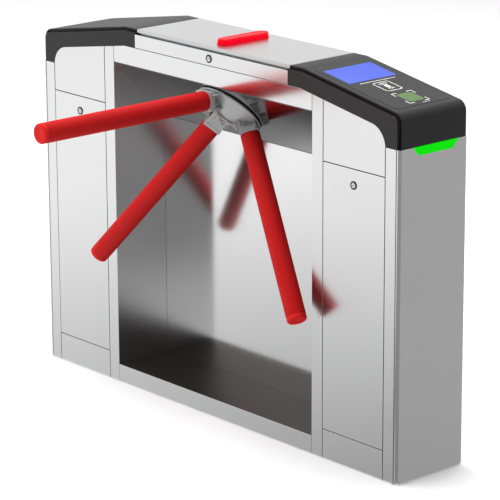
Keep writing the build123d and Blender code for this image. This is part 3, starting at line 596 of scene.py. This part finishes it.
# ---------------------------------------------------------------- printed marks
# White print on the film: a rule under the display, a card with waves that shows where to hold
# a card, and brackets round the scan window with a short mark below them. None of it is a word.
print_white = moulded("print_white", (0.72, 0.72, 0.70), 0.5, 0.02)
print_low = film_thick
print_high = film_thick + 0.0003
print_edge = 0.0001
stroke = 0.0024
thin_stroke = 0.0018
mark_pieces = []


def bar(x, y, length, thickness, turn=0.0):
    """Straight stroke centred at a place on the film, with broken ends."""
    half = length / 2
    stripe = rounded_plate(-half, half, -thickness / 2, thickness / 2, print_low, print_high,
                           thickness / 3, print_edge)
    stripe.rotation_euler.z = turn
    stripe.location = (x, y, 0)
    mark_pieces.append(stripe)


def arc(x, y, radius, thickness, middle, sweep):
    """Curved stroke of a given radius, `sweep` wide about the direction `middle`."""
    ready()
    bpy.ops.mesh.primitive_circle_add(vertices=64, radius=radius + thickness / 2, fill_type="NGON")
    ring = bpy.context.object
    bpy.ops.object.mode_set(mode="EDIT")
    bpy.ops.mesh.select_all(action="SELECT")
    bpy.ops.mesh.inset(thickness=thickness)
    bpy.ops.mesh.delete(type="FACE")
    if sweep < 2 * math.pi:
        choose("FACE", lambda f: abs(
            (math.atan2(f.calc_center_median().y, f.calc_center_median().x) - middle + math.pi)
            % (2 * math.pi) - math.pi) > sweep / 2)
        bpy.ops.mesh.delete(type="FACE")
    bpy.ops.mesh.select_all(action="SELECT")
    bpy.ops.mesh.extrude_region_move(TRANSFORM_OT_translate={"value": (0, 0, print_high - print_low)})
    bpy.ops.mesh.select_all(action="SELECT")
    bpy.ops.mesh.normals_make_consistent(inside=False)
    bpy.ops.object.mode_set(mode="OBJECT")
    ring.location = (x, y, print_low)
    mark_pieces.append(ring)


rule_place = 0.1485
rule_middle = 0.0035
rule_length = 0.119
bar(rule_place, rule_middle, rule_length, stroke, math.pi / 2)

# Card outline: four sides and four round corners, then the card's chip and the waves
card_lo, card_hi, card_half, card_round = 0.160, 0.216, 0.026, 0.007
card_middle = (card_lo + card_hi) / 2
for y in (-card_half, card_half):
    bar(card_middle, y, card_hi - card_lo - 2 * card_round, stroke)
for x in (card_lo, card_hi):
    bar(x, 0, 2 * (card_half - card_round), stroke, math.pi / 2)
for x, y, middle in ((card_hi, card_half, 45), (card_lo, card_half, 135),
                     (card_lo, -card_half, 225), (card_hi, -card_half, 315)):
    inward_x = math.copysign(card_round, card_middle - x)
    inward_y = math.copysign(card_round, -y)
    arc(x + inward_x, y + inward_y, card_round, stroke, math.radians(middle), math.pi / 2)
chip_length, chip_width, chip_corner = 0.017, 0.013, 0.003
chip = rounded_plate(card_middle - chip_length / 2, card_middle + chip_length / 2,
                     -chip_width / 2, chip_width / 2, print_low, print_high, chip_corner, print_edge)
mark_pieces.append(chip)
wave_start, wave_step, wave_sweep = 0.0125, 0.0045, math.radians(80)
for direction, count in ((math.pi, 3), (0, 2)):
    for step in range(count):
        arc(card_middle, 0, wave_start + wave_step * step, thin_stroke, direction, wave_sweep)

# Brackets at the scan window's corners, and the mark under it
bracket_gap, bracket_leg = 0.007, 0.017
scan_middle = scan_start + scan_size / 2
reach = scan_size / 2 + bracket_gap
for sign_x in (-1, 1):
    for sign_y in (-1, 1):
        bar(scan_middle + sign_x * reach, sign_y * (reach - bracket_leg / 2), bracket_leg, stroke,
            math.pi / 2)
        bar(scan_middle + sign_x * (reach - bracket_leg / 2), sign_y * reach, bracket_leg, stroke)
zigzag_gap, zigzag_step = 0.008, 0.006
for step in range(4):
    bar(scan_middle + reach + zigzag_gap, zigzag_step * (1 + step), zigzag_step, stroke * 0.7,
        math.radians(60 + 60 * (step % 2)))
marks = join_all(mark_pieces)
lay_on_slope(marks)
fit(marks, "film_print", "cabinet", "console_film", print_white)

# ---------------------------------------------------------------- passage indicator
# A green acrylic lens under the right cap's nose, wider at the top and set through the
# end panel. The lamps behind it show that the way is open.
indicator_green = lit_plastic("indicator_green", (0.0, 0.06, 0.0), 0.4, 0.05, (0.001, 0.78, 0.001),
                              "ShaderNodeTexWave", 35, 0.88, 1.0)
lens_edge = 0.0004
eased_copy("indicator_lens", lens_edge, indicator_green, "green_lens")


# ---------------------------------------------------------------- cam locks
# Two door locks and one lid lock: a dark chromed ring with a turned-down seat, and in it
# a bright plug with its key slot.
def turned_metal(name, color, roughness):
    """Turned or ground metal with fine uneven tooling."""
    material = plain_finish(name, color, 1, roughness)
    tree = material.node_tree
    tooling = noise(tree, 250, 4)
    spread(tree, tooling, max(roughness - 0.08, 0.03), roughness + 0.08, "Roughness")
    relief(tree, tooling, 0.06, 0.0002)
    return material


lock_dark = turned_metal("lock_dark", (0.10, 0.10, 0.105), 0.3)
lock_bright = turned_metal("lock_bright", (0.8, 0.8, 0.8), 0.22)
ring_radius = 0.011
ring_depth = 0.0175
ring_edge = 0.0005
ring_face = 0.0028
ring_seat = 0.0006
plug_radius = 0.0067
plug_start = 0.0001
plug_edge = 0.0006
slot_length = 0.009
slot_width = 0.0022
slot_depth = 0.004


def turned_bar(radius, start, depth):
    """Round bar along Y, with its front face `start` behind the origin."""
    ready()
    bpy.ops.mesh.primitive_cylinder_add(
        vertices=48, radius=radius, depth=depth, location=(0, start + depth / 2, 0),
        rotation=(math.pi / 2, 0, 0),
    )
    bpy.ops.object.transform_apply(location=True, rotation=True, scale=True)
    return bpy.context.object


def cut_out(piece, tool):
    """Cut a tool's shape out of a piece, and throw the tool away."""
    pocket = piece.modifiers.new("pocket", "BOOLEAN")
    pocket.operation = "DIFFERENCE"
    pocket.object = tool
    bpy.context.view_layer.objects.active = piece
    bpy.ops.object.modifier_apply(modifier=pocket.name)
    bpy.data.objects.remove(tool)


ring = turned_bar(ring_radius, 0, ring_depth)
bpy.ops.object.mode_set(mode="EDIT")
choose("FACE", lambda f: f.normal.y < -0.9)
bpy.ops.mesh.bevel(offset=ring_edge, segments=2, affect="EDGES")
choose("FACE", lambda f: f.normal.y < -0.9 and len(f.verts) > 4)
bpy.ops.mesh.inset(thickness=ring_face)
bpy.ops.mesh.extrude_region_move(TRANSFORM_OT_translate={"value": (0, ring_seat, 0)})
plug = turned_bar(plug_radius, plug_start, ring_depth / 2)
bpy.ops.object.mode_set(mode="EDIT")
choose("FACE", lambda f: f.normal.y < -0.9)
bpy.ops.mesh.bevel(offset=plug_edge, segments=3, affect="EDGES")
ready()
bpy.ops.mesh.primitive_cube_add(size=1, scale=(slot_length, slot_depth, slot_width))
cut_out(plug, bpy.context.object)
locks = ("door_lock_left", "door_lock_right", "lid_lock")
lock_places = []
for lock in locks:
    low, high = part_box(lock + "_case")
    lock_places.append(Matrix.Translation(((low.x + high.x) / 2, low.y, (low.z + high.z) / 2)))
for lock, one in zip(locks, copies(ring, lock_places)):
    fit(one, lock + "_ring", body_of_node(lock + "_case"), "lock_chrome", lock_dark,
        lock + "_case", smooth=40)
for lock, one in zip(locks, copies(plug, lock_places)):
    fit(one, lock + "_key_plug", lock, "lock_chrome", lock_bright, smooth=30)

# ---------------------------------------------------------------- head
# The head is one aluminium casting: a thin round flange against the slanted panel, a shallow
# dome on it, and three square sockets that lean out at 45 degrees and grip the arms' cores.
# The sockets have cast pockets in their flanks, and slotted ribs frame the dome's top.
turn_joint = next(joint for joint in frame["joints"] if joint["name"] == "tripod_turn")
half_root = math.sqrt(0.5)
head = Matrix.Translation(turn_joint["pos_m"]) @ Matrix(
    ((1, 0, 0), (0, -half_root, -half_root), (0, half_root, -half_root))
).to_4x4()
arm_turns = (0, 120, 240)


def arm_place(turn):
    """Place of one arm: its own Z runs out along the arm from the point where all three meet."""
    return head @ Matrix.Rotation(-math.radians(turn), 4, "Z") @ Matrix.Rotation(-math.pi / 4, 4, "X")


def cast_finish(name, color, metallic, roughness):
    """Blasted casting: fine peening, slightly patchy."""
    material = plain_finish(name, color, metallic, roughness)
    tree = material.node_tree
    peening = noise(tree, 420, 3)
    spread(tree, noise(tree, 22), roughness - 0.08, roughness + 0.08, "Roughness")
    tint(tree, peening, color, 0.86)
    relief(tree, peening, 0.15, 0.0004)
    return material


cast_aluminium = cast_finish("cast_aluminium", (0.50, 0.50, 0.505), 0.45, 0.4)
flange_radius = 0.094
flange_level = 0.0494
flange_depth = 0.005
flange_edge = 0.0014
dome_radius = 0.086
dome_height = 0.030
dome_groove = 0.0008
dome_fullness = 1.7
socket_half = 0.024
socket_edge = 0.0018
socket_start = 0.040
socket_floor = flange_level + 0.0012
arm_root = 0.122
collar_length = 0.010
collar_proud = 0.0016
pocket_wall = 0.0065
pocket_depth = 0.007
slot_half = 0.0035
rib_out = 0.013
rib_half = 0.046
rib_width = 0.009
rib_low = 0.066
rib_high = 0.0868
rib_edge = 0.0008
rib_slots = (0.006, 0.020)
rib_slot_rim = 0.0028
rib_slot_depth = 0.003

ready()
bpy.ops.mesh.primitive_cylinder_add(
    vertices=96, radius=flange_radius, depth=flange_depth,
    location=(0, 0, flange_level + flange_depth / 2),
)
casting = bpy.context.object
bpy.ops.object.transform_apply(location=True, rotation=True, scale=True)
bpy.ops.object.mode_set(mode="EDIT")
choose("FACE", lambda f: abs(f.normal.z) > 0.9)
bpy.ops.mesh.bevel(offset=flange_edge, segments=3, affect="EDGES")
choose("FACE", lambda f: f.normal.z > 0.9 and len(f.verts) > 4)
bpy.ops.mesh.inset(thickness=flange_radius - dome_radius - flange_edge, depth=-dome_groove)
dome_steps = 9
radius = dome_radius
rise = 0
for step in range(1, dome_steps + 1):
    share = step / (dome_steps + 1)
    next_radius = dome_radius * (1 - share)
    next_rise = dome_height * (1 - (next_radius / dome_radius) ** dome_fullness)
    bpy.ops.mesh.extrude_region_move(TRANSFORM_OT_translate={"value": (0, 0, next_rise - rise)})
    bpy.ops.transform.resize(value=(next_radius / radius, next_radius / radius, 1),
                             center_override=(0, 0, 0))
    radius, rise = next_radius, next_rise
bpy.ops.object.mode_set(mode="OBJECT")
casting.matrix_world = head
bpy.ops.object.transform_apply(location=True, rotation=True, scale=True)
casting_pieces = [casting]

ready()
bpy.ops.mesh.primitive_cube_add(
    size=1, location=(0, 0, (socket_start + arm_root) / 2),
    scale=(2 * socket_half, 2 * socket_half, arm_root - socket_start),
)
socket = bpy.context.object
bpy.ops.object.transform_apply(location=True, rotation=True, scale=True)
bpy.ops.object.mode_set(mode="EDIT")
bpy.ops.mesh.select_all(action="SELECT")
bpy.ops.mesh.bisect(plane_co=(0, -socket_floor * half_root, socket_floor * half_root),
                    plane_no=(0, -half_root, half_root), clear_inner=True, use_fill=True)
bpy.ops.mesh.select_all(action="SELECT")
bpy.ops.mesh.normals_make_consistent(inside=False)
bpy.ops.mesh.bisect(plane_co=(0, 0, arm_root - collar_length), plane_no=(0, 0, 1))
choose("FACE", lambda f: abs(f.normal.x) > 0.9 and f.calc_center_median().z < arm_root - collar_length)
bpy.ops.mesh.inset(thickness=pocket_wall, use_individual=True)
bpy.ops.mesh.extrude_region_shrink_fatten(TRANSFORM_OT_shrink_fatten={"value": -pocket_depth})
choose("FACE", lambda f: f.normal.y < -0.9 and f.calc_center_median().z < arm_root - collar_length)
bpy.ops.mesh.inset(thickness=socket_half - slot_half, use_individual=True)
bpy.ops.mesh.extrude_region_shrink_fatten(TRANSFORM_OT_shrink_fatten={"value": -pocket_depth / 2})
choose("FACE", lambda f: abs(f.normal.z) < 0.1 and f.calc_center_median().z > arm_root - collar_length)
bpy.ops.mesh.extrude_region_shrink_fatten(TRANSFORM_OT_shrink_fatten={"value": collar_proud})
bpy.ops.object.mode_set(mode="OBJECT")
soften(socket, socket_edge, 2, 35)
casting_pieces += copies(socket, [arm_place(turn) for turn in arm_turns])

ready()
bpy.ops.mesh.primitive_cube_add(
    size=1, location=(0, rib_out, (rib_low + rib_high) / 2),
    scale=(2 * rib_half, rib_width, rib_high - rib_low),
)
rib = bpy.context.object
bpy.ops.object.transform_apply(location=True, rotation=True, scale=True)
bpy.ops.object.mode_set(mode="EDIT")
for cut in (-rib_slots[1], -rib_slots[0], rib_slots[0], rib_slots[1]):
    bpy.ops.mesh.select_all(action="SELECT")
    bpy.ops.mesh.bisect(plane_co=(cut, 0, 0), plane_no=(1, 0, 0))
choose("FACE", lambda f: (f.normal.z > 0.9 or f.normal.y > 0.9)
       and rib_slots[0] < abs(f.calc_center_median().x) < rib_slots[1])
bpy.ops.mesh.inset(thickness=rib_slot_rim, use_individual=True)
bpy.ops.mesh.extrude_region_shrink_fatten(TRANSFORM_OT_shrink_fatten={"value": -rib_slot_depth})
bpy.ops.object.mode_set(mode="OBJECT")
soften(rib, rib_edge, 2, 35)
between_arms = [head @ Matrix.Rotation(-math.radians(turn + 60), 4, "Z") for turn in arm_turns]
casting_pieces += copies(rib, between_arms)
casting = join_all(casting_pieces)
fit(casting, "head_casting", "tripod", "cast_aluminium", cast_aluminium, "hub", smooth=32)
even_shading(casting)

# ---------------------------------------------------------------- arms
# Three steel tubes in red plastic sleeves, 52 mm thick, closed by round-edged end plugs.
# A fine gap shows between each sleeve and its plug. The plugs get a lighter copy of the
# sleeves' red, a painted highlight on the end plugs.
sleeve_red = moulded("sleeve_red", (0.44, 0.008, 0.008), 0.6, 0.1, 0.1)
# Lighter copy of the sleeve red: painted highlight on the end plugs
tip_red_painted_highlight = moulded("tip_red_painted_highlight", (0.58, 0.012, 0.012), 0.6, 0.05, 0.1)
sleeve_radius = 0.026
sleeve_edge = 0.0016
sleeve_mouth = 0.019
mouth_depth = 0.01
plug_length = 0.012
plug_gap = 0.0002
arm_tip = 0.653
tip_back_edge = 0.0008
tip_round = 0.0048
tip_field = 0.008
tip_groove = 0.001
tip_dish = 0.0005
sleeve_end = arm_tip - plug_length
ready()
bpy.ops.mesh.primitive_cylinder_add(
    vertices=72, radius=sleeve_radius, depth=sleeve_end - arm_root,
    location=(0, 0, (sleeve_end + arm_root) / 2),
)
sleeve = bpy.context.object
bpy.ops.object.transform_apply(location=True, rotation=True, scale=True)
bpy.ops.object.mode_set(mode="EDIT")
choose("FACE", lambda f: abs(f.normal.z) > 0.9)
bpy.ops.mesh.bevel(offset=sleeve_edge, segments=3, affect="EDGES")
choose("FACE", lambda f: f.normal.z < -0.9 and len(f.verts) > 4)
bpy.ops.mesh.inset(thickness=sleeve_radius - sleeve_mouth - sleeve_edge)
bpy.ops.mesh.extrude_region_move(TRANSFORM_OT_translate={"value": (0, 0, mouth_depth)})
ready()
bpy.ops.mesh.primitive_cylinder_add(
    vertices=72, radius=sleeve_radius - plug_gap, depth=plug_length,
    location=(0, 0, arm_tip - plug_length / 2),
)
tip = bpy.context.object
bpy.ops.object.transform_apply(location=True, rotation=True, scale=True)
bpy.ops.object.mode_set(mode="EDIT")
choose("FACE", lambda f: f.normal.z < -0.9)
bpy.ops.mesh.bevel(offset=tip_back_edge, segments=2, affect="EDGES")
choose("FACE", lambda f: f.normal.z > 0.9)
bpy.ops.mesh.bevel(offset=tip_round, segments=6, affect="EDGES")
choose("FACE", lambda f: f.normal.z > 0.9 and len(f.verts) > 4)
bpy.ops.mesh.inset(thickness=tip_field, depth=0)
bpy.ops.mesh.inset(thickness=tip_groove, depth=-tip_dish)
ready()
arm_places = [arm_place(turn) for turn in arm_turns]
arm_names = ("level", "right", "left")
for name, one in zip(arm_names, copies(sleeve, arm_places)):
    nodes = ("arm_sleeves",) if name == "level" else ()
    fit(one, "arm_sleeve_" + name, "tripod", "red_sleeve", sleeve_red, *nodes, smooth=40)
for name, one in zip(arm_names, copies(tip, arm_places)):
    nodes = ("arm_plugs",) if name == "level" else ()
    fit(one, "arm_tip_" + name, "tripod", "red_sleeve", tip_red_painted_highlight, *nodes, smooth=40)

# ---------------------------------------------------------------- rear screws
# Steel button screws with hexagon sockets fix the rear skins to the frame: three down each long
# edge of the outer skins, and three down each edge of the middle one.
screw_steel = turned_metal("screw_steel", (0.55, 0.55, 0.56), 0.28)
screw_radius = 0.004
screw_edge = 0.0006
hex_radius = 0.0018
hex_depth = 0.0014
screw_columns = (0.406, 0.671)
column_heights = (0.016, 0.365, 0.650)
middle_column = 0.374
middle_heights = (0.016, 0.450, 0.900)
rear_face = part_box("rear_screws")[0].y
screw_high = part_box("rear_screws")[1].y - rear_face
ready()
bpy.ops.mesh.primitive_cylinder_add(
    vertices=24, radius=screw_radius, depth=screw_high, location=(0, screw_high / 2, 0),
    rotation=(-math.pi / 2, 0, 0),
)
screw = bpy.context.object
bpy.ops.object.transform_apply(location=True, rotation=True, scale=True)
bpy.ops.object.mode_set(mode="EDIT")
choose("FACE", lambda f: f.normal.y > 0.9)
bpy.ops.mesh.bevel(offset=screw_edge, segments=3, affect="EDGES")
ready()
bpy.ops.mesh.primitive_cylinder_add(
    vertices=6, radius=hex_radius, depth=hex_depth, location=(0, screw_high, 0),
    rotation=(math.pi / 2, 0, 0),
)
cut_out(screw, bpy.context.object)
places = [(side * x, z) for side in (-1, 1) for x in screw_columns for z in column_heights]
places += [(side * middle_column, z) for side in (-1, 1) for z in middle_heights]
screws = join_all(copies(screw, [Matrix.Translation((x, rear_face, z)) for x, z in places]))
fit(screws, "rear_button_screws", "cabinet", "machined_steel", screw_steel, "rear_screws", smooth=30)


# ---------------------------------------------------------------- inner and minor pieces
# What stays as the CAD made it: the frame, the head's mechanism, the electrics and the lid's
# hinges. Each gets the finish of its real material.
def speckled(name, color, roughness, scale, contrast, relief_depth):
    """Painted or moulded surface: an even colour broken by a fine mottle."""
    material = plain_finish(name, color, 0, roughness)
    tree = material.node_tree
    mottle = noise(tree, scale, 3)
    tint(tree, mottle, color, 1 - contrast, 1 + contrast)
    relief(tree, mottle, relief_depth, 0.0003)
    return material


zinc = brushed_steel("zinc_sheet", (0.52, 0.54, 0.56), 0.38, "Z")
place = zinc.node_tree.nodes.new("ShaderNodeTexCoord")
spangle = zinc.node_tree.nodes.new("ShaderNodeTexVoronoi")
spangle.inputs["Scale"].default_value = 90
zinc.node_tree.links.new(place.outputs["Object"], spangle.inputs["Vector"])
spread(zinc.node_tree, spangle.outputs["Color"], 0.25, 0.45, "Roughness")
finishes = {
    "steel_skin": skin_steel,
    "recess_steel": recess_steel,
    "lid_steel": lid_steel,
    "black_plastic": cap_plastic,
    "console_film": film_plastic,
    "screen": screen_blue,
    "scan_window": scan_green,
    "green_lens": indicator_green,
    "red_lens": lamp_red,
    "red_sleeve": sleeve_red,
    "cast_aluminium": cast_aluminium,
    "lock_chrome": lock_bright,
    "zinc_sheet": zinc,
    "machined_steel": turned_metal("machined_steel", (0.46, 0.46, 0.47), 0.32),
    "bearing_steel": turned_metal("bearing_steel", (0.62, 0.62, 0.63), 0.16),
    "painted_frame": speckled("painted_frame", (0.09, 0.095, 0.10), 0.5, 300, 0.15, 0.2),
    "rubber": speckled("rubber", (0.018, 0.018, 0.018), 0.75, 500, 0.2, 0.25),
    "circuit_board": speckled("circuit_board", (0.012, 0.11, 0.04), 0.35, 700, 0.3, 0.1),
    "grey_plastic": speckled("grey_plastic", (0.16, 0.165, 0.17), 0.5, 600, 0.12, 0.15),
}
for row in frame["record"]["subparts"]:
    thing = frame["nodes"][row["node"]]
    thing.data.materials.clear()
    thing.data.materials.append(finishes[row["material_slot"]])
